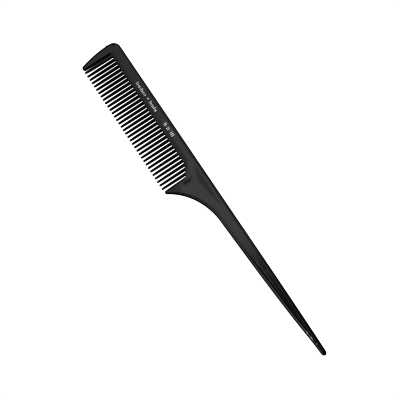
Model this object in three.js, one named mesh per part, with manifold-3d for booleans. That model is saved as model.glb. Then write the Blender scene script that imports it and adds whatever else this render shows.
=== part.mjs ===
// Rat tail comb: one black plastic moulding with a toothed blade and a long pointed tail.
// The nodes are the regions of the moulding, which meet face to face, and the foil marks on its face.
//
// Drawing frame, in millimetres: x runs from the head of the comb to the tip of its tail, y is 0 at
// the straight outer edge and negative towards the tooth tips, and z is 0 on the underside.
// The comb is symmetric about its middle plane, z = middle. The group moves the drawing so that the
// origin is at the bottom centre of the whole comb.

import * as THREE from 'three';
import { mergeVertices } from 'three/addons/utils/BufferGeometryUtils.js';
import Module from 'manifold-3d';

// Whole comb
const tailEnd = 215.65; // from the head end to the tip of the tail
const toothReach = 25.8; // from the outer edge to the tooth tips
const thickness = 4;
const middle = thickness / 2;
const gate = { proud: 0.6, radius: 0.65, height: 1.2, y: -6.4 }; // the gate's stub on the head end

// Teeth
const toothCount = 35;
const pitch = 2.44;
const firstTooth = 6.87; // where the pitch would put tooth 1
const guardToothShift = -0.25; // tooth 1 stands this much nearer to the front guard
const gapRadius = 0.52; // the gaps end in round tops between the tooth roots
const rootWidth = pitch - 2 * gapRadius;
const tipWidth = 0.97;
const tipRounding = 0.6; // length of the rounded end of a tooth
const rootHalf = 1.4; // half the thickness of a tooth at its root
const tipHalf = 0.55;
const toothChamfer = 0.45; // bevels the long edges of a tooth

// Blade
const cornerRadius = 4.3;
const gapTop = -6.8; // the gaps' tops, except for those that fall away towards the heel
const heelGapTops = [-7.7, -8.7, -10.1];
const guardInner = 5.13; // side of the front guard that faces tooth 1
const heelInner = 91.38; // side of the heel guard that faces the last tooth
const frontGuardTip = { x: 3.82, y: -24.37, radius: 1.2, meets: -2.92 };
const heelGuardTip = { x: 92.8, y: -24.35, radius: 1, meets: -0.61 };
const flankControl = [0.1, -14.8]; // bends the front guard's outer side
const heelControls = [[116, -8.16], [101.83, -12.05]]; // bend the hollow back of the heel
const edgeHalf = 1; // half the height of the wall along the outer edge
const outerBevel = 1.9; // width of the bevel along the outer edge
const innerBevelTop = -5.1; // where the flat face ends and the bevel to the teeth starts
const rim = 0.45; // width of the small bevel round the rest of the outline
const rimHeight = 0.8;

// Half the thickness of the frame at places across it, and of the tail at places along it
const acrossFrame = [[0, edgeHalf], [-outerBevel, middle], [-9, middle], [-26, 1.2]];
const neckStart = 125.4; // end of the heel curve
const alongFrame = [[-1, middle], [neckStart, middle], [213, 1.3], [tailEnd + 1, 0.8]];

// Tail
const straightEnd = 165; // up to here the outer edge is straight
const tipStart = 200; // the last stretch, which ends rounded
const tailTip = { y: -1.83, radiusX: 1.85, radiusY: 1.42 };
const tailLowerEdge = [[205.7, -3.7], [190, -5.03], [straightEnd, -6.57], [neckStart, -8.3]];
const tailUpperControl = [195, -0.1];

// Foil marks on the flat face
const foil = 0.03;
const marksTop = -2.6;
const marksBottom = -4.8;
const dotRadius = 0.62;
const dotX = 41;
const markRuns = {
  foil_marks_long: [29.1, 38.6],
  foil_marks_short: [43.1, 50],
  foil_marks_end: [58.6, 67.7],
};

const toothX = (number) => firstTooth + (number - 1) * pitch + (number === 1 ? guardToothShift : 0);
const landY = gapTop - gapRadius; // plane where an ordinary tooth leaves the blade
const heelLandY = heelGapTops.at(-1) - gapRadius;
const shoulderStart = toothX(toothCount - 2) - pitch / 2; // from here the gaps' tops slope to the heel
const beyond = 1; // how far cutting tools reach past what they cut
const far = 300; // longer than anything here

const wasm = await Module();
wasm.setup();

function solidFrom(geometry) {
  geometry.deleteAttribute('normal');
  geometry.deleteAttribute('uv');
  const merged = mergeVertices(geometry, 1e-5);
  const mesh = new wasm.Mesh({
    numProp: 3,
    vertProperties: new Float32Array(merged.attributes.position.array),
    triVerts: new Uint32Array(merged.index.array),
  });
  return new wasm.Manifold(mesh);
}

function geometryFrom(solid) {
  const mesh = solid.getMesh();
  const geometry = new THREE.BufferGeometry();
  geometry.setAttribute('position', new THREE.BufferAttribute(mesh.vertProperties, mesh.numProp));
  geometry.setIndex(new THREE.BufferAttribute(mesh.triVerts, 1));
  const flat = geometry.toNonIndexed();
  flat.computeVertexNormals();
  return flat;
}

// A box between two corners, as a solid for cutting.
function block([x0, y0, z0], [x1, y1, z1]) {
  const box = new THREE.BoxGeometry(x1 - x0, y1 - y0, z1 - z0);
  return solidFrom(box.translate((x0 + x1) / 2, (y0 + y1) / 2, (z0 + z1) / 2));
}

// The same outline as straight edges, without the doubled points where its curves join.
function polygonFrom(outline, divisions) {
  const points = outline.getPoints(divisions);
  const apart = (point, index) => point.distanceTo(points[(index + 1) % points.length]) > 0.01;
  return new THREE.Shape(points.filter(apart));
}

// A plate of full thickness with an outline in x and y, whose edges are bevelled on both faces.
function plate(outline, bevelWidth, bevelHeight, divisions = 8) {
  const geometry = new THREE.ExtrudeGeometry(polygonFrom(outline, divisions), {
    depth: thickness - 2 * bevelHeight,
    bevelEnabled: true,
    bevelSegments: 1,
    bevelThickness: bevelHeight,
    bevelSize: bevelWidth,
    bevelOffset: -bevelWidth,
  });
  return solidFrom(geometry.translate(0, 0, bevelHeight));
}

// A solid whose section in y and z is the same at every x from x0 to x1.
function alongX(section, x0, x1) {
  const shape = new THREE.Shape(section.map(([y, z]) => new THREE.Vector2(-z, y)));
  const geometry = new THREE.ExtrudeGeometry(shape, { depth: x1 - x0, bevelEnabled: false });
  return solidFrom(geometry.rotateY(Math.PI / 2).translate(x0, 0, 0));
}

// A solid whose section in x and z is the same at every y down to -far.
function alongY(section) {
  const shape = new THREE.Shape(section.map(([x, z]) => new THREE.Vector2(x, z)));
  const geometry = new THREE.ExtrudeGeometry(shape, { depth: 2 * far, bevelEnabled: false });
  return solidFrom(geometry.rotateX(Math.PI / 2).translate(0, far, 0));
}

// The same half-thickness profile above and below the middle plane: [[place, half], ...].
function mirrored(profile) {
  const upper = profile.map(([place, half]) => [place, middle + half]);
  const lower = profile.map(([place, half]) => [place, middle - half]).reverse();
  return [...upper, ...lower];
}

// The point on a guard's rounded tip where the guard's outer side meets it.
function tipPoint({ x, y, radius, meets }) {
  return [x + radius * Math.cos(meets), y + radius * Math.sin(meets)];
}

// Top of the gap that follows a tooth, towards the heel.
function gapTopAfter(number) {
  const fromHeel = number - (toothCount - 2);
  return fromHeel < 0 ? gapTop : heelGapTops[fromHeel];
}

// Outline of the whole frame without its teeth, clockwise from the head's corner.
function frameOutline() {
  const outline = new THREE.Shape();
  const { y: tailTipY, radiusX, radiusY } = tailTip;
  const tailTipX = tailEnd - radiusX;
  outline.moveTo(cornerRadius, 0);
  outline.lineTo(straightEnd, 0);
  outline.quadraticCurveTo(...tailUpperControl, tailTipX, tailTipY + radiusY);
  outline.absellipse(tailTipX, tailTipY, radiusX, radiusY, Math.PI / 2, -Math.PI / 2, true);
  outline.splineThru(tailLowerEdge.map(([x, y]) => new THREE.Vector2(x, y)));

  outline.bezierCurveTo(...heelControls.flat(), ...tipPoint(heelGuardTip));
  outline.absarc(heelGuardTip.x, heelGuardTip.y, heelGuardTip.radius, heelGuardTip.meets, -Math.PI, true);
  outline.lineTo(heelInner, heelLandY);
  outline.lineTo(toothX(toothCount) - pitch / 2, heelLandY);
  for (let number = toothCount - 1; number >= toothCount - 2; number--) {
    const y = gapTopAfter(number) - gapRadius;
    outline.lineTo(toothX(number) + pitch / 2, y);
    outline.lineTo(toothX(number) - pitch / 2, y);
  }
  outline.lineTo(shoulderStart, landY);
  outline.lineTo(guardInner, landY);

  outline.absarc(frontGuardTip.x, frontGuardTip.y, frontGuardTip.radius, 0, frontGuardTip.meets, true);
  outline.quadraticCurveTo(...flankControl, 0, landY);
  outline.lineTo(0, -cornerRadius);
  outline.absarc(cornerRadius, -cornerRadius, cornerRadius, Math.PI, Math.PI / 2, true);
  return outline;
}

// The frame: a plate with its outer edge bevelled, thinner towards the guards' tips and the tail's tip.
function makeFrame() {
  return plate(frameOutline(), rim, rimHeight)
    .intersect(alongX(mirrored(acrossFrame), -beyond, tailEnd + beyond))
    .intersect(alongY(mirrored(alongFrame)));
}

// What comes off both faces of the blade to leave the bevel between its flat face and the teeth.
function innerBevel() {
  const below = heelLandY - beyond;
  const section = [
    [innerBevelTop, thickness],
    [landY, middle + rootHalf],
    [below, middle + rootHalf],
    [below, thickness + beyond],
    [innerBevelTop, thickness + beyond],
  ];
  const upper = alongX(section, guardInner, shoulderStart);
  return upper.add(upper.mirror([0, 0, 1]).translate([0, 0, thickness]));
}

// A round-topped slot between two x, which gives the gap between two teeth its end.
function gapCutter(x0, x1, top) {
  const radius = (x1 - x0) / 2;
  const round = new THREE.CylinderGeometry(radius, radius, thickness + 2 * beyond, 16);
  round.rotateX(Math.PI / 2).translate((x0 + x1) / 2, top - radius, middle);
  const slot = block([x0, heelLandY - beyond, -beyond], [x1, top - radius, thickness + beyond]);
  return solidFrom(round).add(slot);
}

function makeSpine(frame) {
  const upToHeel = frame.intersect(
    block([guardInner, -far, -beyond], [heelInner, beyond, thickness + beyond]),
  );
  let spine = upToHeel.subtract(innerBevel());
  for (let number = 0; number <= toothCount; number++) {
    const x0 = number === 0 ? guardInner : toothX(number) + rootWidth / 2;
    const x1 = number === toothCount ? heelInner : toothX(number + 1) - rootWidth / 2;
    spine = spine.subtract(gapCutter(x0, x1, gapTopAfter(number)));
  }
  return spine;
}

// Where tooth NUMBER leaves the blade: below the lower of the two gap tops beside it.
const rootY = (number) => Math.min(gapTopAfter(number), gapTopAfter(number - 1)) - gapRadius;

// A tooth with its middle at x = 0. It gets thinner and narrower towards a rounded tip.
function makeTooth(root) {
  const tip = -toothReach;
  const profile = [[root + 2 * beyond, rootHalf], [root - 1, rootHalf], [tip, tipHalf]];
  const side = new THREE.Shape(mirrored(profile).map(([y, z]) => new THREE.Vector2(-z, y)));
  const bar = new THREE.ExtrudeGeometry(side, {
    depth: rootWidth - 2 * toothChamfer,
    bevelEnabled: true,
    bevelSegments: 1,
    bevelThickness: toothChamfer,
    bevelSize: toothChamfer,
    bevelOffset: -toothChamfer,
  });
  bar.rotateY(Math.PI / 2).translate(-rootWidth / 2 + toothChamfer, 0, 0);

  const front = new THREE.Shape();
  front.moveTo(-rootWidth / 2, root);
  front.lineTo(-tipWidth / 2, tip + tipRounding);
  front.quadraticCurveTo(-tipWidth / 2, tip, 0, tip);
  front.quadraticCurveTo(tipWidth / 2, tip, tipWidth / 2, tip + tipRounding);
  front.lineTo(rootWidth / 2, root);
  const cut = new THREE.ExtrudeGeometry(front, { depth: thickness, bevelEnabled: false, curveSegments: 3 });
  return solidFrom(bar).intersect(solidFrom(cut));
}

const blackPlastic = (name) =>
  new THREE.MeshStandardMaterial({ name, color: 0x161617, roughness: 0.36, metalness: 0 });
const paleFoil = (name) =>
  new THREE.MeshStandardMaterial({ name, color: 0xb9b9b6, roughness: 0.45, metalness: 0.1 });

const comb = new THREE.Group();
comb.position.set(-(tailEnd - gate.proud) / 2, toothReach / 2, 0);

function addPiece(name, geometry, material = blackPlastic(name)) {
  const piece = new THREE.Mesh(geometry, material);
  piece.name = name;
  comb.add(piece);
  return piece;
}

const frame = makeFrame();
const regions = {
  head_end: [[-far, landY], [guardInner, far]],
  front_guard: [[-far, -far], [guardInner, landY]],
  heel: [[heelInner, heelLandY], [neckStart, far]],
  heel_guard: [[heelInner, -far], [neckStart, heelLandY]],
  tail: [[neckStart, -far], [tipStart, far]],
  tail_tip: [[tipStart, -far], [far, far]],
};
for (const [name, [low, high]] of Object.entries(regions)) {
  const solid = frame.intersect(block([...low, -beyond], [...high, thickness + beyond]));
  addPiece(name, geometryFrom(solid));
}
const spine = makeSpine(frame);
const towardsHead = block([-far, -far, -beyond], [shoulderStart, far, thickness + beyond]);
addPiece('spine', geometryFrom(spine.intersect(towardsHead)));
addPiece('spine_shoulder', geometryFrom(spine.subtract(towardsHead)));

for (let number = 1; number <= toothCount; number++) {
  const name = `tooth_${String(number).padStart(2, '0')}`;
  const tooth = addPiece(name, geometryFrom(makeTooth(rootY(number))));
  tooth.position.x = toothX(number);
}

// The stub left where the moulding was cut from its runner, on the head end.
const stub = new THREE.CylinderGeometry(gate.radius, gate.radius, gate.height, 12);
stub.rotateX(Math.PI / 2).translate(gate.radius - gate.proud, gate.y, middle);
const outsideHead = block([-far, -far, 0], [0, 0, thickness]);
addPiece('gate_stub', geometryFrom(solidFrom(stub).intersect(outsideHead)));

for (const [name, [x0, x1]] of Object.entries(markRuns)) {
  const strip = new THREE.BoxGeometry(x1 - x0, marksTop - marksBottom, foil);
  const piece = addPiece(name, strip, paleFoil(name));
  piece.position.set((x0 + x1) / 2, (marksTop + marksBottom) / 2, thickness + foil / 2);
}
const dot = new THREE.CylinderGeometry(dotRadius, dotRadius, foil, 16);
dot.rotateX(Math.PI / 2);
const dotPiece = addPiece('foil_dot', dot, paleFoil('foil_dot'));
dotPiece.position.set(dotX, (marksTop + marksBottom) / 2, thickness + foil / 2);

export default comb;
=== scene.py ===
# Looks of the rat tail comb: its moulding as fine smooth meshes, its foil marks, floor, light and camera.
import math

import bpy
import numpy as np
from mathutils import Matrix, Vector
from mathutils.geometry import delaunay_2d_cdt
from mathutils.kdtree import KDTree


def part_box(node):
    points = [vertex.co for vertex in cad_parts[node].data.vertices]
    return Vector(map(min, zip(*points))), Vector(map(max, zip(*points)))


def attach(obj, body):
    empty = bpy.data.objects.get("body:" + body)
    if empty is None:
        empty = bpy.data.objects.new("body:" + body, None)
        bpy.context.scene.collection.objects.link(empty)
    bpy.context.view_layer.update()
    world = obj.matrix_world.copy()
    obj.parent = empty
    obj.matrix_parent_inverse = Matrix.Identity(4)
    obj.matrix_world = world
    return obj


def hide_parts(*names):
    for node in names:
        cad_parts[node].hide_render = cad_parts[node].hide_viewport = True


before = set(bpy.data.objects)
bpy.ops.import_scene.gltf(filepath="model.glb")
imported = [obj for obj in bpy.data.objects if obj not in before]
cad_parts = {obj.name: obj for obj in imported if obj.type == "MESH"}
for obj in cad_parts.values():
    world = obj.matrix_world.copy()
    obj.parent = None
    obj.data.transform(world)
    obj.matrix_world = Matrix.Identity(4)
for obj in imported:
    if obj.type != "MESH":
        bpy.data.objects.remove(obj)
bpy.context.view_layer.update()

# ---------------------------------------------------------------------------------------------
# Drawing frame, in millimetres: x from the head end to the tail's tip, y 0 at the straight outer
# edge and negative towards the tooth tips, z 0 on the middle plane. Everything is drawn in it and
# moved by ORIGIN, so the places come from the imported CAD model.
MM = 0.001
head_low, head_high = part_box("head_end")
spine_low, spine_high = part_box("spine")
ORIGIN = Vector((head_low.x, head_high.y, (spine_low.z + spine_high.z) / 2))


def drawn(point):
    return (point - ORIGIN) / MM


def drawn_box(node):
    low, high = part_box(node)
    return drawn(low), drawn(high)


HALF = drawn(spine_high).z  # half the thickness of the flat faces
TAIL_END = drawn_box("tail_tip")[1].x
TIP_START = drawn_box("tail_tip")[0].x
NECK = drawn_box("heel")[1].x
HEEL_INNER = drawn_box("heel")[0].x
HEEL_GUARD_END = drawn_box("heel_guard")[1].x  # where its hollow back passes the heel's land
GUARD_INNER = drawn(head_high).x
LAND = drawn_box("tooth_01")[1].y  # plane where an ordinary tooth leaves the blade
TOOTH_COUNT = sum(1 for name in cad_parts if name.startswith("tooth_"))


def read_tooth(number):
    low, high = drawn_box(f"tooth_{number:02d}")
    return {
        "number": number,
        "x": (low.x + high.x) / 2,
        "half": (high.x - low.x) / 2,
        "root": high.y,
        "tip": low.y,
        "thick": high.z,
    }


TEETH = [read_tooth(number) for number in range(1, TOOTH_COUNT + 1)]
TOOTH_HALF = TEETH[0]["half"]
TOOTH_THICK = TEETH[0]["thick"]
PITCH = TEETH[2]["x"] - TEETH[1]["x"]
GAP_RADIUS = PITCH / 2 - TOOTH_HALF
GAP_RISE = 0.25  # how far the round top of a gap reaches over its land
HEEL_LAND = TEETH[-1]["root"]
SHOULDER = TEETH[-3]["x"] - PITCH / 2  # from here the gaps' tops slope down to the heel

# Shape of the moulding, in millimetres
CORNER_RADIUS = 4.3
EDGE_ROUND = 0.42  # width of the rounding along the outer edge
INNER_ROUND = 0.16  # along the edges beside the teeth
HEEL_GUARD_ROUND = 0.95  # down the heel guard's side wall
WALL_EASE = 1.5  # height over which that wall's rounding grows
OUTER_BEVEL = 1.75
OUTER_EDGE_SHARE = 0.52  # height of the edge's wall under the outer bevel, of the full thickness
FLANK_BEVEL = 0.8
FLANK_SHARE = 0.26  # how much higher the edge's wall is down the head's end
FLANK_FROM, FLANK_EASE, FLANK_REACH = 0.5, 4.5, 20  # where that change starts, its length, and its last x
BACK_BEVEL = 1.2
TAIL_BACK_BEVEL = 1.5
TAIL_BACK_FROM, TAIL_BACK_EASE = 140, 30  # where the tail's wider bevel begins, and how long it takes
GUARD_BACK_BEVEL = 0.6  # the back's bevel starts this narrow at the heel guard's tip
GUARD_BACK_FROM, GUARD_BACK_EASE = 93, 12
BACK_EDGE_SHARE = 0.52
INNER_BEVEL = 2.1  # from the land plane up to the flat face
INNER_EASE = 0.3  # the bevel's round start
INNER_FROM, INNER_HEAD_EASE, INNER_HEEL_EASE = 0.05, 0.8, 8.4  # how the bevel comes and goes at its two ends
LAND_CURVE = 1.5  # length of the curve in the line of the gaps' tops
OUTER_BLEND, BACK_BLEND, INNER_BLEND = 0.22, 0.16, 0.04  # roundness between the flat face and each bevel
GUARD_THIN = 0.45  # what the guards lose of their half thickness at their tips
GUARD_THIN_FROM, GUARD_THIN_LENGTH, GUARD_THIN_EASE = -14, 10, 3
TAIL_THIN = 0.7  # what the tail loses of its half thickness
TAIL_THIN_END, TAIL_THIN_EASE = 213, 12
TAIL_TIP_CENTRE = -1.83
TAIL_TIP_RADII = (1.85, 1.42)
TAIL_LOWER_EDGE = [(NECK, -8.3), (165, -6.57), (190, -5.03), (205.7, -3.7)]
STRAIGHT_END = (165, 0)  # from here the outer edge bends down to the tail's tip
TAIL_UPPER_CONTROL = (195, -0.1)
GUARD_TIP = (3.82, -24.4, 1.14, -2.92)  # centre, radius, and the angle where the outer side meets it
HEEL_TIP = (92.8, -24.35, 1.0, -0.61)
FLANK_CONTROL = (0.1, -14.8)
HEEL_CONTROLS = ((101.83, -12.05), (116, -8.16))
TOOTH_TIP_HALF = 0.46
TOOTH_TIP_ROUND = 0.5  # length of a tooth's rounded tip
TOOTH_RIDGE, TOOTH_WALL = 1.4, 4  # powers of a tooth's section: its ridge's roundness, its walls' steepness
TOOTH_THINNING = (-15.5, 10.9)  # y down to which a tooth keeps its thickness, and length of the thinning
FIRST_TOOTH_THINNING = (-18.5, 6.9)
FIRST_TOOTH_ROUND = 0.17  # the first tooth has a flat face with narrow roundings
ROOT_RISE = 0.9  # over this height the blade gets down to a tooth's thickness
ROOT_START, ROOT_BLEND = 0.1, 0.4  # above its root a tooth's section stays, then runs out into the bevel
# A shallow valley where the spine's face meets the heel's: its steep side runs from VALLEY_FROM down to
# its bottom line, and its gentle side from there up to the heel's face
STEEP_SLOPE, GENTLE_SLOPE = 0.085, 0.024
VALLEY_FROM = -2.4
VALLEY_LINE = ((86, -2.4), (91, -4.2), (97, -6.1), (104, -5.6), (112, -4.2), (121, -2.4))
VALLEY_EASE, VALLEY_BLEND = 0.3, 0.04
TAIL_CROWN = 0.0116  # curvature of the tail's faces across its width
CROWN_FROM, CROWN_EASE = 146, 18
WEAR_AT, WEAR_WIDTH = 0.3, 0.22  # how far from the edge the faces are worn most, and how widely
TIP_WEAR = 1.5  # length over which the wear fades up from a tooth's tip


# ---------------------------------------------------------------------------------------------
# Outline
def straight(start, end, step):
    count = max(1, round(math.dist(start, end) / step))
    return [
        (start[0] + (end[0] - start[0]) * i / count, start[1] + (end[1] - start[1]) * i / count)
        for i in range(count)
    ]


def arc(centre, radii, first, last, count):
    """Points on an ellipse from angle first to angle last, without the last one."""
    turn = [first + (last - first) * i / count for i in range(count)]
    return [(centre[0] + radii[0] * math.cos(a), centre[1] + radii[1] * math.sin(a)) for a in turn]


def bezier(points, count):
    """A curve of any degree through its control points, without its last point."""
    degree = len(points) - 1
    curve = []
    for i in range(count):
        t = i / count
        weights = [math.comb(degree, k) * t**k * (1 - t) ** (degree - k) for k in range(degree + 1)]
        curve.append(tuple(sum(w * p[axis] for w, p in zip(weights, points)) for axis in (0, 1)))
    return curve


def through(points, step):
    """A smooth curve through points, without the last one."""
    padded = [points[0], *points, points[-1]]
    curve = []
    for a, b, c, d in zip(padded, padded[1:], padded[2:], padded[3:]):
        count = max(2, round(math.dist(b, c) / step))
        for i in range(count):
            t = i / count
            curve.append(
                tuple(
                    0.5
                    * (
                        2 * b[k]
                        + (c[k] - a[k]) * t
                        + (2 * a[k] - 5 * b[k] + 4 * c[k] - d[k]) * t**2
                        + (3 * b[k] - a[k] - 3 * c[k] + d[k]) * t**3
                    )
                    for k in (0, 1)
                )
            )
    return curve


def outer_outline():
    """From the tail's tip along the outer edge, round the head and down to the front guard's tip."""
    rx, ry = TAIL_TIP_RADII
    x, y, r, meets = GUARD_TIP
    flank_end = (x + r * math.cos(meets), y + r * math.sin(meets))
    return [
        *arc((TAIL_END - rx, TAIL_TIP_CENTRE), (rx, ry), 0, math.pi / 2, 12),
        *bezier([(TAIL_END - rx, TAIL_TIP_CENTRE + ry), TAIL_UPPER_CONTROL, STRAIGHT_END], 60),
        *straight(STRAIGHT_END, (CORNER_RADIUS, 0), 0.9),
        *arc((CORNER_RADIUS, -CORNER_RADIUS), (CORNER_RADIUS,) * 2, math.pi / 2, math.pi, 18),
        *straight((0, -CORNER_RADIUS), (0, LAND), 0.5),
        *bezier([(0, LAND), FLANK_CONTROL, flank_end], 34),
        *arc((x, y), (r, r), meets + 2 * math.pi, 1.5 * math.pi, 8),
    ]


def gap_outline(right_of, left_of):
    """The round top of the gap between two walls, from the first to the second, at the gap's own land."""
    x0, x1, y = right_of, left_of[0], left_of[1]
    return arc(((x0 + x1) / 2, y), ((x1 - x0) / 2, GAP_RISE), math.pi, 0, 12)


LAND_ROWS = (0.02, 0.06, 0.12, 0.2, 0.32, 0.46, 0.58)  # how far points across a tooth lie from its wall


def across(half):
    """Offsets from a tooth's middle to the points across it, from wall to wall."""
    rows = [half - row for row in (0, *LAND_ROWS)]
    return [-offset for offset in rows] + [0.0] + rows[::-1]


def inner_outline():
    """Edges from the front guard's tip up its inner side, over the gaps and down the heel guard's inner side.
    A list of stretches: each is the real edge of the moulding, and between them lie the teeth's roots."""
    x, y, r, _ = GUARD_TIP
    stretches = []
    edge = [
        *arc((x, y), (r, r), -math.pi / 2, 0, 8),
        *straight((x + r, y), (GUARD_INNER, LAND), 0.8),
    ]
    wall, gap_land = GUARD_INNER, LAND
    for tooth in TEETH:
        left = tooth["x"] - tooth["half"]
        edge += gap_outline(wall, (left, gap_land))
        if tooth["root"] < gap_land - 0.01:
            edge += straight((left, gap_land), (left, tooth["root"]), 0.25)
        stretches.append([*edge, (left, tooth["root"])])
        wall, gap_land = tooth["x"] + tooth["half"], tooth["root"]
        edge = []
    x, y, r, _ = HEEL_TIP
    edge = [
        *gap_outline(wall, (HEEL_INNER, gap_land)),
        *straight((HEEL_INNER, gap_land), (x - r, y), 0.8),
        *arc((x, y), (r, r), math.pi, 1.5 * math.pi, 7),
        (x, y - r),
    ]
    return [*stretches, edge]


def back_outline():
    """From the heel guard's tip up its hollow back and along the tail's lower edge to the tip."""
    x, y, r, meets = HEEL_TIP
    start = (x + r * math.cos(meets), y + r * math.sin(meets))
    rx, ry = TAIL_TIP_RADII
    return [
        *arc((x, y), (r, r), -math.pi / 2, meets, 6),
        *bezier([start, *HEEL_CONTROLS, TAIL_LOWER_EDGE[0]], 62),
        *through([*TAIL_LOWER_EDGE, (TAIL_END - rx, TAIL_TIP_CENTRE - ry)], 1.0),
        *arc((TAIL_END - rx, TAIL_TIP_CENTRE), (rx, ry), -math.pi / 2, 0, 12),
    ]


OUTER = np.array(outer_outline())
INNER = [np.array(stretch) for stretch in inner_outline()]
BACK = np.array(back_outline())


class Edge:
    """Some stretches of the outline, which can say how far points are from them."""

    def __init__(self, stretches):
        self.starts = np.concatenate([s[:-1] for s in stretches])
        self.ends = np.concatenate([s[1:] for s in stretches])
        self.tree = KDTree(len(self.starts))
        for i, (a, b) in enumerate(zip(self.starts, self.ends)):
            self.tree.insert((*(a + b) / 2, 0), i)
        self.tree.balance()

    def distance(self, points):
        best = np.full(len(points), np.inf)
        near = np.array([[hit[1] for hit in self.tree.find_n((*p, 0), 6)] for p in points])
        for column in near.T:
            a, b = self.starts[column], self.ends[column]
            along = b - a
            t = np.clip(((points - a) * along).sum(1) / (along**2).sum(1), 0, 1)
            best = np.minimum(best, np.linalg.norm(points - a - t[:, None] * along, axis=1))
        return best


outer_edge = Edge([np.vstack([BACK[-1:], OUTER, INNER[0][:1]])])
inner_edge = Edge(INNER)
back_edge = Edge([np.vstack([BACK, OUTER[:1]])])


# ---------------------------------------------------------------------------------------------
# Height of the faces over the middle plane
def smooth_min(a, b, blend):
    share = np.clip(0.5 + 0.5 * (b - a) / blend, 0, 1)
    return b + (a - b) * share - blend * share * (1 - share)


def soft_ramp(t, blend):
    """0 below 0, then t, with a round start as long as blend."""
    t = np.maximum(t, 0)
    return np.where(t < blend, t * t / (2 * blend), t - blend / 2)


def smooth_step(t):
    t = np.clip(t, 0, 1)
    return t * t * (3 - 2 * t)


def rounding(distance, width=EDGE_ROUND):
    """Share of the full height at a distance from the edge, which curves down to the middle plane there."""
    return np.sqrt(np.maximum(0, 1 - (1 - np.clip(distance / width, 0, 1)) ** 2))


def tooth_thickness(y, first):
    """Half the thickness of a tooth at y, before its tip is rounded."""
    full_to, thin_over = FIRST_TOOTH_THINNING if first else TOOTH_THINNING
    past = min(1, max(0, (full_to - y) / thin_over))
    return TOOTH_THICK * math.sqrt(1 - past**2)


def tooth_section(u, half, flat_faced):
    """Share of a tooth's thickness at u, which runs from 0 at its ridge to 1 at its wall."""
    u = np.clip(np.abs(u), 0, 1)
    ridged = (1 - u**TOOTH_RIDGE) ** (1 / TOOTH_WALL)
    return np.where(flat_faced, rounding((1 - u) * half, FIRST_TOOTH_ROUND), ridged)


TOOTH_X = np.array([tooth["x"] for tooth in TEETH])


def face_height(points):
    """Half thickness at points on the frame of the comb, everything but its teeth."""
    x, y = points.T
    from_outer = outer_edge.distance(points)
    from_inner = inner_edge.distance(points)
    from_back = back_edge.distance(points)
    nearest = np.minimum(np.minimum(from_outer, from_inner), from_back)

    plateau = (
        HALF
        - TAIL_THIN * soft_ramp(x - NECK, TAIL_THIN_EASE) / (TAIL_THIN_END - NECK)
        - GUARD_THIN * soft_ramp(GUARD_THIN_FROM - y, GUARD_THIN_EASE) / GUARD_THIN_LENGTH
    )
    crown = TAIL_CROWN * smooth_step((x - CROWN_FROM) / CROWN_EASE) * (from_outer - from_back) ** 2
    line = np.interp(x, *zip(*VALLEY_LINE))
    steep_side = STEEP_SLOPE * soft_ramp(VALLEY_FROM - y, VALLEY_EASE)
    gentle_side = STEEP_SLOPE * (VALLEY_FROM - line) + GENTLE_SLOPE * (y - line)
    plateau = plateau - crown - np.maximum(0, smooth_min(steep_side, gentle_side, VALLEY_BLEND))

    down_the_head = smooth_step((-y - FLANK_FROM) / FLANK_EASE) * (x < FLANK_REACH)
    outer_width = OUTER_BEVEL + (FLANK_BEVEL - OUTER_BEVEL) * down_the_head
    outer_share = OUTER_EDGE_SHARE + FLANK_SHARE * down_the_head
    outer_bevel = plateau * (outer_share + (1 - outer_share) * from_outer / outer_width)
    past_guard = smooth_step((x - GUARD_BACK_FROM) / GUARD_BACK_EASE)
    back_width = GUARD_BACK_BEVEL + (BACK_BEVEL - GUARD_BACK_BEVEL) * past_guard
    back_width += (TAIL_BACK_BEVEL - BACK_BEVEL) * smooth_step((x - TAIL_BACK_FROM) / TAIL_BACK_EASE)
    back_bevel = plateau * (BACK_EDGE_SHARE + (1 - BACK_EDGE_SHARE) * from_back / back_width)

    # The bevel between the flat face and the teeth follows the line of the gaps' tops.
    slope = (HEEL_LAND - LAND) / (HEEL_INNER - GAP_RADIUS - SHOULDER)
    land_line = LAND + slope * soft_ramp(x - SHOULDER + LAND_CURVE / 2, LAND_CURVE)
    steepness = np.where(x > SHOULDER, math.hypot(1, slope), 1)
    rise = soft_ramp((y - land_line) / steepness, INNER_EASE) / INNER_BEVEL
    past_front_guard = smooth_step((x - GUARD_INNER - INNER_FROM) / INNER_HEAD_EASE)
    near_teeth = past_front_guard * smooth_step((HEEL_INNER - x) / INNER_HEEL_EASE)
    rise = 1 - (1 - rise) * near_teeth
    inner_bevel = TOOTH_THICK + (plateau - TOOTH_THICK) * rise

    height = smooth_min(plateau, outer_bevel, OUTER_BLEND)
    height = smooth_min(height, back_bevel, BACK_BLEND)
    height = smooth_min(height, inner_bevel, INNER_BLEND)

    # Under a tooth's root the blade comes down to the tooth's own thickness and section.
    beside = np.abs(x[:, None] - TOOTH_X)
    nearest_tooth, offset = beside.argmin(1), beside.min(1)
    root = np.array([tooth["root"] for tooth in TEETH])[nearest_tooth]
    in_root = (offset < PITCH / 2) & (y > root - 0.01)
    out_of_root = np.where(in_root, smooth_step((y - root) / ROOT_RISE), 1)
    height = np.minimum(height, TOOTH_THICK + (height - TOOTH_THICK) * out_of_root)
    share = np.where(in_root, smooth_step((y - root - ROOT_START) / ROOT_BLEND), 1)
    across_tooth = offset / np.maximum(offset + from_inner, 1e-6)
    section = tooth_section(across_tooth, TOOTH_HALF, nearest_tooth == 0)
    down_the_wall = smooth_step((HEEL_LAND - y) / WALL_EASE) * (x > HEEL_INNER)
    inner_round = INNER_ROUND + (HEEL_GUARD_ROUND - INNER_ROUND) * down_the_wall
    inner_rounding = section + (rounding(from_inner, inner_round) - section) * share
    edge_rounding = np.minimum(rounding(np.minimum(from_outer, from_back)), inner_rounding)
    return height * edge_rounding, nearest


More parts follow.
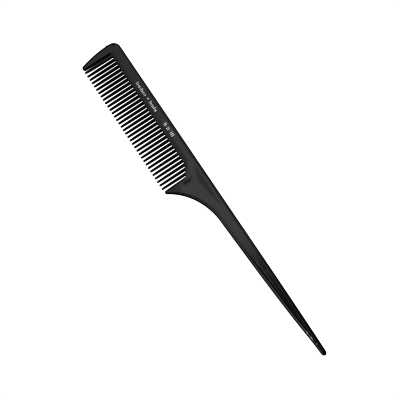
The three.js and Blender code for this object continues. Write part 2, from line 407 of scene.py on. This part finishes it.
# ---------------------------------------------------------------------------------------------
# Flat pattern of the frame, which is then given its height
ROWS = (0.03, 0.09, 0.18, 0.3, 0.44, 0.7, 1.05, 1.45, 1.9)  # lines of points along the edges
SEAM_MARGIN, SEAM_STEP = 2.7, 0.9  # points along a long seam: clear of its ends, and how far apart
SHORT_SEAM = 6
GRID_STEP, GRID_APART, GRID_MARGIN = 0.95, 0.5, 0.25  # points of the flat middle


def domain():
    """The frame's outline as one loop of points, and which of them lie inside a tooth's root."""
    loop, in_root = list(map(tuple, OUTER)), [False] * len(OUTER)
    for stretch, tooth in zip(INNER, [*TEETH, None]):
        loop += map(tuple, stretch)
        in_root += [False] * len(stretch)
        if tooth:
            offsets = across(tooth["half"])[1:-1]
            loop += [(tooth["x"] + offset, tooth["root"]) for offset in offsets]
            in_root += [True] * len(offsets)
    loop += map(tuple, BACK[1:])
    in_root += [False] * (len(BACK) - 1)
    return np.array(loop), np.array(in_root)


def inward(loop):
    """Unit vectors that point into the frame at each point of its loop."""
    along = np.roll(loop, -1, 0) - np.roll(loop, 1, 0)
    along /= np.linalg.norm(along, axis=1)[:, None]
    return np.stack([-along[:, 1], along[:, 0]], 1)


def nearest_on(loop, in_root, place):
    """Index of the outline point nearest to a place."""
    far_off = 100  # keeps the seams out of the teeth's roots
    gaps = np.linalg.norm(loop - np.array(place), axis=1) + far_off * in_root
    return int(gaps.argmin())


def seam(loop, in_root, start, end):
    """A straight cut between two places on the outline: its ends' indices, and the points between them."""
    first, last = nearest_on(loop, in_root, start), nearest_on(loop, in_root, end)
    a, b = loop[first], loop[last]
    length = np.linalg.norm(b - a)
    if length > SHORT_SEAM:
        inner = np.arange(SEAM_MARGIN, length - SEAM_MARGIN, SEAM_STEP)
    else:
        inner = np.array([length / 2])
    places = sorted({*ROWS, *(length - np.array(ROWS)), *inner} - {length})
    places = [p for p in places if 0 < p < length]
    kept = [p for i, p in enumerate(places) if i == 0 or p - places[i - 1] > 0.02]
    return first, last, [tuple(a + (b - a) * p / length) for p in kept]


class Scatter:
    """Points kept apart from each other."""

    def __init__(self, points, cell=0.5):
        self.cell, self.cells, self.points = cell, {}, []
        for p in points:
            self.add(p, 0)

    def add(self, point, apart):
        column, row = int(point[0] // self.cell), int(point[1] // self.cell)
        reach = math.ceil(apart / self.cell) if apart else 0
        for i in range(column - reach, column + reach + 1):
            for j in range(row - reach, row + reach + 1):
                for other in self.cells.get((i, j), ()):
                    if math.dist(point, other) < apart:
                        return
        self.cells.setdefault((column, row), []).append(point)
        self.points.append(point)


def flat_pattern():
    """Points and triangles of the frame's plan, with edges along every seam between pieces."""
    loop, in_root = domain()
    first_gap = (GUARD_INNER + TEETH[0]["x"] - TOOTH_HALF) / 2
    last_gap = HEEL_INNER - GAP_RADIUS
    ends = {
        "head": ((first_gap, 0), (first_gap, LAND + GAP_RISE)),
        "shoulder": ((SHOULDER, 0), (SHOULDER, LAND + GAP_RISE)),
        "heel": ((last_gap, 0), (last_gap, HEEL_LAND + GAP_RISE)),
        "neck": ((NECK, 0), TAIL_LOWER_EDGE[0]),
        "tip": ((TIP_START, 0), (TIP_START, -4)),
        "front_guard": ((0, LAND), (GUARD_INNER, LAND)),
        "heel_guard": ((HEEL_INNER, HEEL_LAND), (HEEL_GUARD_END, HEEL_LAND)),
    }
    points, edges, seams = list(map(tuple, loop)), [], {}
    for name, (start, end) in ends.items():
        first, last, between = seam(loop, in_root, start, end)
        seams[name] = loop[first], loop[last]
        chain = [first, *range(len(points), len(points) + len(between)), last]
        points += between
        edges += list(zip(chain, chain[1:]))
    fixed = len(points)

    kept = Scatter(points)
    normals = inward(loop)
    step = np.linalg.norm(np.roll(loop, -1, 0) - np.roll(loop, 1, 0), axis=1) / 2
    for row, previous in zip(ROWS, (0, *ROWS)):
        offset = loop + normals * row
        usable = ~in_root & (whole_distance(offset) > row * 0.97)
        for point, apart in zip(offset[usable], step[usable]):
            kept.add(tuple(point), min(0.45 * apart, 0.6 * (row - previous)))
    inner = grid_inside(loop, GRID_STEP)
    for point in inner[whole_distance(inner) > ROWS[-1] + GRID_MARGIN]:
        kept.add(tuple(point), GRID_APART)
    points += kept.points[fixed:]

    inside = [list(range(len(loop)))]
    made = delaunay_2d_cdt([Vector(p) for p in points], edges, inside, 1, 1e-6)
    plan = np.array([tuple(p) for p in made[0]])
    return plan, np.array(made[2]), seams


def whole_distance(points):
    """How far points are from the whole outline."""
    return np.minimum(
        np.minimum(outer_edge.distance(points), inner_edge.distance(points)), back_edge.distance(points)
    )


def grid_inside(loop, step):
    """A triangular grid of points that lie inside the loop."""
    low, high = loop.min(0), loop.max(0)
    rows = np.arange(low[1], high[1], step * 0.87)
    columns = np.arange(low[0], high[0], step)
    points = np.array([(x + (i % 2) * step / 2, y) for i, y in enumerate(rows) for x in columns])
    inside = np.zeros(len(points), bool)
    for (x0, y0), (x1, y1) in zip(loop, np.roll(loop, -1, 0)):
        if y0 == y1:
            continue
        between = (points[:, 1] >= min(y0, y1)) & (points[:, 1] < max(y0, y1))
        crossing = x0 + (points[:, 1] - y0) * (x1 - x0) / (y1 - y0)
        inside ^= between & (points[:, 0] < crossing)
    return points[inside]


# ---------------------------------------------------------------------------------------------
# Meshes
def vertex_normals(points, triangles):
    a, b, c = (points[triangles[:, k]] for k in range(3))
    face = np.cross(b - a, c - a)
    total = np.zeros_like(points)
    for k in range(3):
        np.add.at(total, triangles[:, k], face)
    return total / np.maximum(np.linalg.norm(total, axis=1), 1e-12)[:, None]


def add_mesh(name, points, faces, corner_normals=None, wear=None):
    """A mesh object from points in the drawing frame."""
    mesh = bpy.data.meshes.new(name)
    mesh.from_pydata([ORIGIN + Vector(p) * MM for p in points], [], faces)
    if corner_normals is not None:
        mesh.shade_smooth()
        mesh.normals_split_custom_set(corner_normals)
    if wear is not None:
        attribute = mesh.attributes.new("wear", "FLOAT", "POINT")
        attribute.data.foreach_set("value", np.asarray(wear, np.float32))
    piece = bpy.data.objects.new(name, mesh)
    bpy.context.scene.collection.objects.link(piece)
    return piece


def region_of(point, seams):
    """The CAD node whose part of the frame holds a point. Past a seam is the tail's side, or above it."""

    def past(name):
        start, end = seams[name]
        across, reach = end - start, point - start
        return across[0] * reach[1] - across[1] * reach[0] > 0

    if past("tip"):
        return "tail_tip"
    if past("neck"):
        return "tail"
    if past("heel"):
        return "heel" if past("heel_guard") else "heel_guard"
    if past("shoulder"):
        return "spine_shoulder"
    if past("head"):
        return "spine"
    return "head_end" if past("front_guard") else "front_guard"


def edge_wear(nearest):
    """1 where hands and hair rub most: the shoulders of the rounded edges."""
    return np.exp(-(((nearest - WEAR_AT) / WEAR_WIDTH) ** 2))


def make_frame():
    plan, triangles, seams = flat_pattern()
    height, nearest = face_height(plan)
    height[height < 1e-4] = 0
    count = len(plan)
    on_edge = height == 0
    lower_index = np.where(on_edge, np.arange(count), np.arange(count) + count)
    upper = np.column_stack([plan, height])
    lower = np.column_stack([plan, -height])
    points = np.vstack([upper, lower])
    shell = np.vstack([triangles, lower_index[triangles[:, ::-1]]])
    normals = vertex_normals(points, shell)
    wear = np.tile(edge_wear(nearest), 2)

    regions = np.array([region_of(middle, seams) for middle in plan[triangles].mean(1)])
    for node in sorted(set(regions)):
        piece = frame_piece(node, triangles[regions == node], points, lower_index, normals, wear)
        finish_piece(piece, "black_plastic", node)


def frame_piece(node, plan_faces, points, lower_index, normals, wear):
    """One region of the frame as a closed mesh: two faces, and flat walls where it meets its neighbours."""
    sides = {}
    for a, b, c in plan_faces:
        for side in ((a, b), (b, c), (c, a)):
            sides[side] = True
    faces, corners = [], []
    for a, b, c in plan_faces:
        for face in ((a, b, c), (lower_index[c], lower_index[b], lower_index[a])):
            faces.append(tuple(int(i) for i in face))
            corners += [tuple(normals[i]) for i in face]
    for a, b in sides:
        if (b, a) in sides:
            continue
        ring = [lower_index[a], lower_index[b], b, a]
        ring = [int(i) for k, i in enumerate(ring) if i != ring[k - 1]]
        if len(ring) < 3:
            continue
        along = points[b] - points[a]
        outward = np.array([along[1], -along[0], 0]) / math.hypot(along[0], along[1])
        faces.append(tuple(ring))
        corners += [tuple(outward)] * len(ring)
    used = sorted({i for face in faces for i in face})
    new = {old: i for i, old in enumerate(used)}
    faces = [tuple(new[i] for i in face) for face in faces]
    return add_mesh(f"moulded_{node}", points[used], faces, corners, wear[used])


def make_tooth(tooth):
    """One tooth: ridged like a narrow roof, narrower and at last thinner down to its rounded tip."""
    root, tip = tooth["root"], tooth["tip"]
    length = root - tip
    to_round = length - TOOTH_TIP_ROUND
    # How far each ring of points lies below the root: closer together near both ends
    drops = [0, 0.3, 0.8, *np.arange(1.8, to_round - 0.8, 0.9), to_round - 0.3, to_round]
    drops += [length - TOOTH_TIP_ROUND * (1 - math.sin(turn)) for turn in np.linspace(0.25, 1.45, 6)]
    offsets = np.array(across(TOOTH_HALF)) / TOOTH_HALF
    shape = tooth_section(offsets, TOOTH_HALF, tooth["number"] == 1)
    points, wear = [], []
    for drop in drops:
        y = root - drop
        half = tooth["half"] + (TOOTH_TIP_HALF - tooth["half"]) * min(1, drop / to_round)
        into_tip = max(0, (drop - to_round) / TOOTH_TIP_ROUND)
        closing = math.sqrt(max(0, 1 - into_tip**2))
        thick = tooth_thickness(y, tooth["number"] == 1) * max(closing, 0.02)
        ring = [(tooth["x"] + u * half * closing, y, thick * z) for u, z in zip(offsets, shape)]
        ring += [(x, y, -z) for x, _, z in ring[-2:0:-1]]
        points += ring
        wear += [math.exp(-max(0, length - drop) / TIP_WEAR)] * len(ring)
    size = 2 * len(offsets) - 2
    points.append((tooth["x"], tip, 0))
    wear.append(1)
    faces = [tuple(range(size))[::-1]]
    for level in range(len(drops) - 1):
        for i in range(size):
            a, b = level * size + i, level * size + (i + 1) % size
            faces.append((a, b, b + size, a + size))
    last = (len(drops) - 1) * size
    faces += [(last + i, last + (i + 1) % size, len(points) - 1) for i in range(size)]
    points = np.array(points)
    if volume(points, faces) < 0:
        faces = [face[::-1] for face in faces]
    shell = np.array([(f[0], f[i], f[i + 1]) for f in faces[1:] for i in range(1, len(f) - 1)])
    normals = vertex_normals(points, shell)
    corners = [(0, 1, 0)] * len(faces[0]) + [tuple(normals[i]) for face in faces[1:] for i in face]
    node = f"tooth_{tooth['number']:02d}"
    finish_piece(add_mesh(f"moulded_{node}", points, faces, corners, wear), "black_plastic", node)


def volume(points, faces):
    """Signed volume of a closed mesh, below 0 when its faces point inwards."""
    total = 0.0
    for face in faces:
        for i in range(1, len(face) - 1):
            a, b, c = points[face[0]], points[face[i]], points[face[i + 1]]
            total += np.dot(a, np.cross(b, c))
    return total / 6


# Rings of the gate's stub: how far each stands out of the head, as a share of the stub's height, and its size
GATE_RINGS = ((-1.2, 1.0), (0.0, 1.0), (0.5, 0.97), (0.8, 0.92), (0.94, 0.82), (0.98, 0.6), (0.9, 0.3))
GATE_FILL = 0.98  # the torn face stays this far inside the stub's box
GATE_DIMPLE = 0.8  # height of the middle of the torn face
GATE_SQUARENESS = 3


def make_gate_stub():
    """What is left of the moulding's gate on the head's end: a short stub with a torn, uneven face."""
    low, high = drawn_box("gate_stub")
    centre = (low + high) / 2
    half_y, half_z = (high.y - low.y) / 2, (high.z - low.z) / 2
    around = 28
    points = []
    for out, size in GATE_RINGS:
        for i in range(around):
            turn = 2 * math.pi * i / around
            torn = 0.1 * math.sin(3 * turn + 0.6) + 0.06 * math.sin(7 * turn + 1.9)
            reach = out + torn * max(0, out) * (1.4 - size)
            superellipse = (
                abs(math.cos(turn)) ** GATE_SQUARENESS + abs(math.sin(turn)) ** GATE_SQUARENESS
            ) ** (-1 / GATE_SQUARENESS)
            y = centre.y + half_y * size * superellipse * math.cos(turn) * GATE_FILL
            z = centre.z + half_z * size * superellipse * math.sin(turn) * GATE_FILL
            points.append((high.x + (low.x - high.x) * min(reach, GATE_FILL), y, z))
    count = len(points)
    points.append((high.x + (low.x - high.x) * GATE_DIMPLE, centre.y, centre.z))
    faces = [tuple(range(around))]
    for ring in range(len(GATE_RINGS) - 1):
        for i in range(around):
            a, b = ring * around + i, ring * around + (i + 1) % around
            faces.append((a, a + around, b + around, b))
    faces += [(count - around + (i + 1) % around, count - around + i, count) for i in range(around)]
    points = np.array(points)
    if volume(points, faces) < 0:
        faces = [face[::-1] for face in faces]
    piece = add_mesh("gate_remnant", points, faces, wear=np.full(len(points), 1.0))
    piece.data.shade_smooth()
    finish_piece(piece, "black_plastic", "gate_stub")


# ---------------------------------------------------------------------------------------------
# Foil marks: a plain graduation, a dot, and groups of ticks
FOIL_SUNK = 0.05  # how deep each mark starts under the face, so that no light passes under it
TICK_WIDTH = 0.6
TICK_ROUNDNESS = 0.7  # corner radius of a stroke, as a share of half its width
LONG_PITCH, SHORT_PITCH = 0.96, 0.93  # from tick to tick in the first and the second run
EVERY_LONG_TICK, SHORTER_BY = 5, 0.75  # every fifth tick is long, the others are this much shorter
# The end run: its length, where each group of ticks starts with its count, and where each dash starts. One
# unit is what a group of ticks takes up
END_RUN = 4.2
END_GROUPS = ((0.0, 2), (1.4, 2), (3.05, 3))
END_DASHES = (1.0, 2.5)
END_PITCH, DASH_HALF, DASH_WIDTH = 0.95, 0.18, 0.4


def tick(x, low, high, width=TICK_WIDTH):
    """Outline of an upright stroke with round corners."""
    radius = min(width, high - low) / 2 * TICK_ROUNDNESS
    corners = ((1, 1), (-1, 1), (-1, -1), (1, -1))
    centre_x, centre_y = width / 2 - radius, (high - low) / 2 - radius
    outline = []
    for quarter, (side, end) in enumerate(corners):
        corner = (x + side * centre_x, (low + high) / 2 + end * centre_y)
        start = quarter * math.pi / 2
        outline += arc(corner, (radius, radius), start, start + math.pi / 2, 5)
    return outline


def add_foil(node, outlines):
    """The marks of one run, each a thin closed plate."""
    top = drawn_box(node)[1].z
    points, faces = [], []
    for outline in outlines:
        count, base = len(outline), len(points)
        points += [(x, y, HALF - FOIL_SUNK) for x, y in outline] + [(x, y, top) for x, y in outline]
        faces.append(tuple(range(base + count - 1, base - 1, -1)))
        faces.append(tuple(range(base + count, base + 2 * count)))
        for i in range(count):
            a, b = base + i, base + (i + 1) % count
            faces.append((a, b, b + count, a + count))
    finish_piece(add_mesh(f"printed_{node.removeprefix('foil_')}", points, faces), "pale_foil", node)


def make_foil_marks():
    for node, pitch in (("foil_marks_long", LONG_PITCH), ("foil_marks_short", SHORT_PITCH)):
        low, high = drawn_box(node)
        count = round((high.x - low.x - TICK_WIDTH) / pitch)
        step = (high.x - low.x - TICK_WIDTH) / count
        tops = [high.y - (SHORTER_BY if i % EVERY_LONG_TICK else 0.0) for i in range(count + 1)]
        first = low.x + TICK_WIDTH / 2
        add_foil(node, [tick(first + i * step, low.y, top) for i, top in enumerate(tops)])
    low, high = drawn_box("foil_dot")
    centre, radius = (low + high) / 2, (high.x - low.x) / 2
    add_foil("foil_dot", [arc((centre.x, centre.y), (radius, radius), 0, 2 * math.pi, 32)])

    low, high = drawn_box("foil_marks_end")
    middle = (low.y + high.y) / 2
    group = (high.x - low.x) / END_RUN
    outlines = []
    for start, count in END_GROUPS:
        first = low.x + start * group + TICK_WIDTH / 2
        outlines += [tick(first + i * END_PITCH, low.y, high.y) for i in range(count)]
    for start in END_DASHES:
        outlines.append(tick(low.x + start * group, middle - DASH_HALF, middle + DASH_HALF, DASH_WIDTH))
    add_foil("foil_marks_end", outlines)


# ---------------------------------------------------------------------------------------------
# Materials
class Nodes:
    """A node tree that is written as plain calls."""

    def __init__(self, name):
        self.material = bpy.data.materials.new(name)
        self.material.use_nodes = True
        self.tree = self.material.node_tree
        self.tree.nodes.clear()
        self.output = self.add("ShaderNodeOutputMaterial")

    def add(self, kind, settings=None, **inputs):
        node = self.tree.nodes.new(kind)
        for key, value in (settings or {}).items():
            setattr(node, key, value)
        for key, value in inputs.items():
            by_index = key[0] == "_" and key[1:].isdigit()
            socket = node.inputs[int(key[1:]) if by_index else key.replace("_", " ")]
            if isinstance(value, bpy.types.NodeSocket):
                self.tree.links.new(value, socket)
            else:
                socket.default_value = value
        return node

    def noise(self, where, scale, detail=2.0, roughness=0.5):
        node = self.add("ShaderNodeTexNoise", Vector=where, Scale=scale, Detail=detail, Roughness=roughness)
        return node.outputs["Fac"]

    def stretched(self, where, scale):
        node = self.add("ShaderNodeMapping", Vector=where, Scale=scale)
        return node.outputs["Vector"]

    def math(self, operation, a, b=0.0, clamp=False):
        settings = {"operation": operation, "use_clamp": clamp}
        return self.add("ShaderNodeMath", settings, _0=a, _1=b).outputs["Value"]

    def between(self, value, low, high, to_low, to_high):
        """Maps low..high to to_low..to_high, with a smooth start and end."""
        node = self.add("ShaderNodeMapRange", {"interpolation_type": "SMOOTHSTEP"}, Value=value)
        ends = {"From Min": low, "From Max": high, "To Min": to_low, "To Max": to_high}
        for socket, number in ends.items():
            node.inputs[socket].default_value = number
        return node.outputs["Result"]

    def patches(self, where, ellipses):
        """1 inside soft-edged ellipses on the upper face, given as x, y, half length and half width."""
        total = 0.0
        for x, y, half_x, half_y in ellipses:
            centre = ORIGIN + Vector((x, y, HALF)) * MM
            scale = (1 / (half_x * MM), 1 / (half_y * MM), 1 / (HALF * MM))
            offset = self.add("ShaderNodeVectorMath", {"operation": "SUBTRACT"}, _0=where, _1=tuple(centre))
            offset = offset.outputs[0]
            scaled = self.add("ShaderNodeVectorMath", {"operation": "MULTIPLY"}, _0=offset, _1=scale)
            reach = self.add("ShaderNodeVectorMath", {"operation": "LENGTH"}, _0=scaled.outputs[0])
            inside = self.between(reach.outputs["Value"], *PATCH_EDGE, 0.0, 1.0)
            total = self.math("ADD", total, inside, True)
        return total

    def mix_colour(self, share, a, b):
        node = self.add("ShaderNodeMix", {"data_type": "RGBA"})
        for index, value in ((0, share), (6, a), (7, b)):
            if isinstance(value, bpy.types.NodeSocket):
                self.tree.links.new(value, node.inputs[index])
            else:
                node.inputs[index].default_value = value
        return node.outputs[2]

    def bump(self, height, distance, strength, normal=None):
        node = self.add("ShaderNodeBump", Height=height, Distance=distance, Strength=strength)
        if normal is not None:
            self.tree.links.new(normal, node.inputs["Normal"])
        return node.outputs["Normal"]


PATCH_EDGE = (1.3, 0.5)  # where a patch ends and where it is full, in its own half sizes
# Patches on the upper face, painted highlights and matt wear: x, y, half length and half width, in
# millimetres of the drawing frame
PAINTED_TIP_GLINTS = ((200.5, -3.1, 1.2, 0.45), (204.2, -2.85, 1.8, 0.45), (208.3, -2.3, 0.65, 0.42))  # painted highlights: glints near the tail's tip, painted as pale patches
RUBBED = ((94.4, -11.7, 1.5, 2.9), (93.2, -20.2, 0.8, 1.3), (93.5, -8.1, 0.4, 0.5))  # matt, on the heel
# What each kind of wear adds to the plastic's roughness
SCUFF_MATTNESS, DUST_MATTNESS, WEAR_POLISH, RUBBED_MATTNESS = 0.06, 0.12, -0.02, 0.5


def grey(level, blue=None):
    """An opaque grey, with its blue part given when it isn't neutral."""
    return (level, level, level if blue is None else blue, 1)


def black_plastic():
    """Moulded black nylon: a low sheen, flow marks along the comb, fine scuffs, edges worn a little paler,
    and painted highlights near the tail's tip.
    """
    n = Nodes("black_plastic_moulded")
    place = n.add("ShaderNodeTexCoord").outputs["Object"]
    wear = n.add("ShaderNodeAttribute", {"attribute_name": "wear"}).outputs["Fac"]

    flow = n.noise(n.stretched(place, (60, 260, 260)), 1.0, 3.0, 0.55)
    grain = n.noise(place, 5200, 2.0, 0.6)
    scuffs = n.noise(n.stretched(place, (500, 9000, 9000)), 1.0, 2.0, 0.7)
    scuffed = n.between(scuffs, 0.58, 0.72, 0.0, 1.0)
    dust = n.between(n.noise(place, 900, 3.0, 0.65), 0.55, 0.8, 0.0, 1.0)

    speckle = n.between(n.noise(place, 1300, 3.0, 0.7), 0.38, 0.6, 0.15, 1.0)
    rubbed = n.math("MULTIPLY", n.patches(place, RUBBED), speckle)

    tone = n.mix_colour(flow, grey(0.008, 0.0084), (0.013, 0.0128, 0.0132, 1))
    tone = n.mix_colour(n.math("MULTIPLY", wear, 0.35), tone, grey(0.016, 0.0165))
    tone = n.mix_colour(n.math("MULTIPLY", dust, 0.5), tone, grey(0.03))
    # Painted highlights: glints near the tail's tip, painted into the colour as nearly white patches
    tone = n.mix_colour(n.patches(place, PAINTED_TIP_GLINTS), tone, grey(0.85))

    rough = n.between(flow, 0.3, 0.7, 0.1, 0.15)
    mattness = (
        (scuffed, SCUFF_MATTNESS), (dust, DUST_MATTNESS), (wear, WEAR_POLISH), (rubbed, RUBBED_MATTNESS)
    )
    for mask, added in mattness:
        rough = n.math("ADD", rough, n.math("MULTIPLY", mask, added))

    waves = n.bump(n.noise(n.stretched(place, (110, 420, 420)), 1.0, 2.0), 0.00012, 0.25)
    normal = n.bump(grain, 0.00001, 0.3, waves)
    normal = n.bump(scuffed, 0.000004, 0.25, normal)
    shader = n.add("ShaderNodeBsdfPrincipled", Base_Color=tone, Roughness=rough, Normal=normal, IOR=1.5)
    n.tree.links.new(shader.outputs["BSDF"], n.output.inputs["Surface"])
    return n.material


def pale_foil():
    """Hot-stamped pale grey foil: a grainy, slightly broken film."""
    n = Nodes("pale_foil_stamped")
    place = n.add("ShaderNodeTexCoord").outputs["Object"]
    grain = n.noise(place, 3500, 3.0, 0.65)
    rubbed = n.between(n.noise(place, 1100, 2.0), 0.35, 0.62, 0.0, 1.0)
    tone = n.mix_colour(grain, grey(0.46), grey(0.66, 0.67))
    tone = n.mix_colour(n.math("MULTIPLY", rubbed, 0.3), tone, grey(0.3, 0.305))
    rough = n.between(grain, 0.3, 0.7, 0.38, 0.55)
    normal = n.bump(grain, 0.000008, 0.3)
    shader = n.add("ShaderNodeBsdfPrincipled", Base_Color=tone, Roughness=rough, Metallic=0.3, Normal=normal)
    n.tree.links.new(shader.outputs["BSDF"], n.output.inputs["Surface"])
    return n.material


def floor_paper():
    """Pale seamless paper, lit from below as well, so that the gaps between the teeth stay pale."""
    n = Nodes("studio_paper")
    place = n.add("ShaderNodeTexCoord").outputs["Object"]
    tone = n.mix_colour(n.noise(place, 40, 4.0), grey(0.11), grey(0.125))
    shader = n.add("ShaderNodeBsdfPrincipled", Base_Color=tone, Roughness=0.9, Emission_Strength=FLOOR_GLOW)
    shader.inputs["Emission Color"].default_value = grey(1)
    n.tree.links.new(shader.outputs["BSDF"], n.output.inputs["Surface"])
    return n.material


def finish_piece(piece, slot, node):
    """Gives a piece its material in a slot and its body, and hides the CAD node it stands for."""
    piece.data.materials.append(FINISHES[slot])
    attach(piece, "root")
    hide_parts(node)


# ---------------------------------------------------------------------------------------------
# Studio
FLOOR_GLOW = 0.945
# Sizes of the stage, in metres
STAGE_RADIUS = 2.6
STAGE_BEND = 0.9  # radius of the curve from floor to wall
WALL_RISE = 1.2  # from there up to the dome
DOME_FLATNESS = 0.6  # the dome's height, as a share of its radius
FLOOR_GAP = 0.02  # millimetres between the comb's underside and the floor
COMB_MIDDLE = (TAIL_END / 2, -8, 0)
WORLD_GLOW = 0.3
LIGHT_HEIGHT = 800  # of the overhead panels, in millimetres. Where two overlap they hang at different heights


def make_stage():
    """A round floor that curves up into a dome, seen by the camera but not by the comb's reflections."""
    around = 96
    profile = [(radius, 0.0) for radius in (0.25, 0.6, 1.1, STAGE_RADIUS - STAGE_BEND)]
    profile += [
        (STAGE_RADIUS - STAGE_BEND + STAGE_BEND * math.sin(a), STAGE_BEND - STAGE_BEND * math.cos(a))
        for a in np.linspace(0.15, math.pi / 2, 12)
    ]
    profile += [
        (STAGE_RADIUS * math.cos(a), STAGE_BEND + WALL_RISE + STAGE_RADIUS * DOME_FLATNESS * math.sin(a))
        for a in np.linspace(0, math.pi / 2 - 0.08, 10)
    ]
    centre = Vector((TAIL_END / 2, -12, -HALF - FLOOR_GAP))
    points, faces = [tuple(centre)], []
    for radius, rise in profile:
        reach, level = radius / MM, centre.z + rise / MM
        for i in range(around):
            turn = 2 * math.pi * i / around
            points.append((centre.x + reach * math.cos(turn), centre.y + reach * math.sin(turn), level))
    for i in range(around):
        faces.append((0, 1 + i, 1 + (i + 1) % around))
    for ring in range(len(profile) - 1):
        for i in range(around):
            a, b = 1 + ring * around + i, 1 + ring * around + (i + 1) % around
            faces.append((a, a + around, b + around, b))
    faces.append(tuple(range(len(points) - around, len(points))))
    stage = add_mesh("studio_floor", points, faces)
    stage.data.shade_smooth()
    stage.data.materials.append(floor_paper())
    stage.visible_glossy = False
    stage.visible_diffuse = False
    stage.visible_shadow = False


def add_light(name, place, aim, size, radiance, shape="RECTANGLE", glossy=True, diffuse=False):
    """A soft box at a place in the drawing frame, turned towards another, with its size in metres."""
    light = bpy.data.lights.new(name, "AREA")
    light.shape = shape
    light.size, light.size_y = size
    area = size[0] * size[1] * (math.pi / 4 if shape == "ELLIPSE" else 1)
    light.energy = radiance * math.pi * area
    lamp = bpy.data.objects.new(name, light)
    bpy.context.scene.collection.objects.link(lamp)
    lamp.location = ORIGIN + Vector(place) * MM
    lamp.rotation_euler = (Vector(aim) - Vector(place)).to_track_quat("-Z", "Y").to_euler()
    lamp.visible_camera = False
    lamp.visible_glossy = glossy
    lamp.visible_diffuse = diffuse


def add_overhead(name, x, y, lift, size, radiance, shape="RECTANGLE"):
    """A panel that faces straight down from LIGHT_HEIGHT, or from a little over or under it."""
    add_light(name, (x, y, LIGHT_HEIGHT + lift), (x, y, 0), size, radiance, shape)


def light_studio():
    """A pale glow all round, and the panels, given as where they hang, where they look, size and radiance."""
    world = bpy.data.worlds.new("studio_dark")
    world.use_nodes = True
    background = world.node_tree.nodes["Background"]
    background.inputs["Color"].default_value = grey(1)
    background.inputs["Strength"].default_value = WORLD_GLOW
    bpy.context.scene.world = world
    # Seen in reflections only: a box overhead with a brighter core, and panels around it, behind and in front
    add_overhead("overhead_box", -206, 60, 0, (0.6, 0.6), 3.35)
    add_overhead("overhead_core", -60, 60, -10, (0.28, 0.17), 1.35, "ELLIPSE")
    add_overhead("tail_core", 112, -30, -20, (0.03, 0.08), 6.0)
    add_overhead("tail_fill", 217, 230, 10, (0.23, 0.1), 1.4)
    add_overhead("tail_wash", 250, 0, 30, (0.28, 0.36), 0.9)
    add_overhead("back_strip", -45, 500, 20, (0.23, 0.44), 4.0)
    add_overhead("back_wash", -355, 520, 20, (0.39, 0.44), 2.4)
    add_overhead("tail_strip", 180, 490, 20, (0.2, 0.42), 2.5)
    add_light("back_panel", (-340, 800, 550), (120, 0, 0), (1.0, 0.9), 2.2)
    add_overhead("front_panel", -200, -470, 0, (0.52, 0.5), 2.9)
    add_light("front_strip", (-15, -830, 430), (75, 0, 0), (0.58, 0.7), 3.8)
    add_light("heel_strip", (385, -850, 430), (100, 0, 0), (0.24, 0.7), 2.6)
    add_overhead("heel_fill", 355, -580, 0, (0.23, 0.28), 2.8)
    add_light("corner_panel", (700, -600, 420), COMB_MIDDLE, (0.6, 0.6), 2.8)
    # Seen by matt surfaces only
    add_light("room_light", (100, -20, 1500), COMB_MIDDLE, (2.2, 2.2), 0.2, glossy=False, diffuse=True)


# The camera: its lens and sensor in millimetres, its place in the drawing frame, and the ways its right side
# and its top point
LENS, SENSOR = 81, 36
CAMERA_PLACE = Vector((207.9, -39.2, 493.6))
CAMERA_RIGHT = Vector((0.5461, 0.8352, -0.0645))
CAMERA_TOP = Vector((-0.8134, 0.5471, 0.1974))
NEAREST, FARTHEST = 0.02, 20  # metres
PIXEL_FILTER = 1.0  # pixels, for a crisp picture
CONTRAST = 0.5  # gamma of a product picture: white floor, deep blacks


def set_camera():
    """A short telephoto lens over the tail, turned so that the comb runs from upper left to lower right."""
    camera = bpy.data.cameras.new("camera")
    camera.sensor_width = SENSOR
    camera.lens = LENS
    camera.clip_start, camera.clip_end = NEAREST, FARTHEST
    right = CAMERA_RIGHT.normalized()
    back = right.cross(CAMERA_TOP).normalized()
    up = back.cross(right)
    holder = bpy.data.objects.new("camera", camera)
    bpy.context.scene.collection.objects.link(holder)
    turned = Matrix((right, up, back)).transposed().to_4x4()
    holder.matrix_world = Matrix.Translation(ORIGIN + CAMERA_PLACE * MM) @ turned
    bpy.context.scene.camera = holder
    bpy.context.scene.cycles.filter_width = PIXEL_FILTER
    looks = bpy.context.scene.view_settings
    looks.view_transform = "Standard"
    looks.gamma = CONTRAST


FINISHES = {"black_plastic": black_plastic(), "pale_foil": pale_foil()}
make_frame()
for tooth in TEETH:
    make_tooth(tooth)
make_gate_stub()
make_foil_marks()
make_stage()
light_studio()
set_camera()
